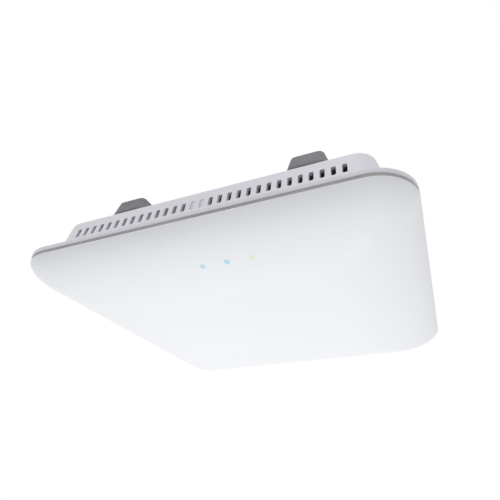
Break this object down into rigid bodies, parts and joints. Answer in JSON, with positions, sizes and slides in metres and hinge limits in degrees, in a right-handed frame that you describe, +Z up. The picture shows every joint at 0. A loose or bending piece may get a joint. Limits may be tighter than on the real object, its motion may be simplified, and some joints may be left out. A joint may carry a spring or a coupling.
{
  "type": "ceiling access point",
  "caption": "Square white wireless access point with a domed cover, status lights and vented rear housing, hung from a twist-lock ceiling bracket.",
  "frame": {"origin": "centre of the ceiling bracket's flat face, in the plane of the ceiling", "axes": "+Z up into the ceiling, so the unit hangs below; -Y towards the vented wall beside the status lights; +X to the right when that wall is seen from the front"},
  "size_m": [0.2, 0.2, 0.0554],
  "materials": {
    "cover_plastic": "fine satin moulding, slightly soft sheen",
    "housing_plastic": "fine matt texture",
    "gasket_rubber": "dull",
    "grey_rubber": "dull, finely pitted",
    "zinc_sheet": "galvanised pressed sheet with a dull spangle",
    "spring_steel": "bright rolled",
    "zinc_screws": "bright zinc plate",
    "tinned_steel": "tinned sheet",
    "board_laminate": "green solder resist over laminate",
    "black_plastic": "moulded",
    "button_plastic": "moulded, polished by use",
    "pale_plastic": "moulded",
    "gold_plate": "gold flash",
    "nickel_pin": "nickel plate",
    "chip_resin": "moulded resin",
    "coil_tape": "wound tape",
    "ferrite": "sintered",
    "capacitor_sleeve": "shrunk sleeve",
    "thermal_pad": "soft, slightly tacky",
    "sink_aluminium": "extruded",
    "antenna_brass": "stamped and plated",
    "lead_jacket": "smooth jacket",
    "led_resin": "clear resin",
    "blue_light": "clear moulding, lit from behind",
    "cyan_light": "clear moulding, lit from behind",
    "green_light": "clear moulding, lit from behind"
  },
  "bodies": {
    "bracket": {"mounting_bracket": "zinc_sheet", "detent_spring": "spring_steel", "spring_rivets": "spring_steel"},
    "access_point": {"rear_housing": "housing_plastic", "rubber_feet": "grey_rubber", "seam_gasket": "gasket_rubber", "front_cover": "cover_plastic", "cover_screws": "zinc_screws", "main_board": "board_laminate", "board_screws": "zinc_screws", "ethernet_jack": "tinned_steel", "ethernet_insert": "black_plastic", "ethernet_contacts": "gold_plate", "power_jack": "black_plastic", "power_pin": "nickel_pin", "reset_switch": "black_plastic", "ethernet_magnetics": "chip_resin", "power_transformer": "coil_tape", "inductors": "ferrite", "capacitors": "capacitor_sleeve", "processor": "chip_resin", "memory_chips": "chip_resin", "thermal_pads": "thermal_pad", "heat_sink": "sink_aluminium", "heat_sink_screws": "zinc_screws", "left_radio_shield": "tinned_steel", "right_radio_shield": "tinned_steel", "coax_sockets": "gold_plate", "front_left_antenna": "antenna_brass", "front_right_antenna": "antenna_brass", "rear_left_antenna": "antenna_brass", "rear_right_antenna": "antenna_brass", "front_left_lead": "lead_jacket", "front_right_lead": "lead_jacket", "rear_left_lead": "lead_jacket", "rear_right_lead": "lead_jacket", "status_leds": "led_resin", "blue_light_guide": "blue_light", "cyan_light_guide": "cyan_light", "green_light_guide": "green_light"},
    "reset_button": {"reset_button": "button_plastic", "switch_plunger": "pale_plastic"}
  },
  "joints": [
    {"name": "twist_release", "type": "hinge", "parent": "bracket", "child": "access_point", "pos_m": [0, 0, 0], "axis": [0, 0, -1], "range_deg": [0, 22], "deforming": ["detent_spring"]},
    {"name": "reset_press", "type": "slide", "parent": "access_point", "child": "reset_button", "axis": [0, 1, 0], "range_m": [0, 0.0005], "stiffness_N_per_m": 600}
  ]
}
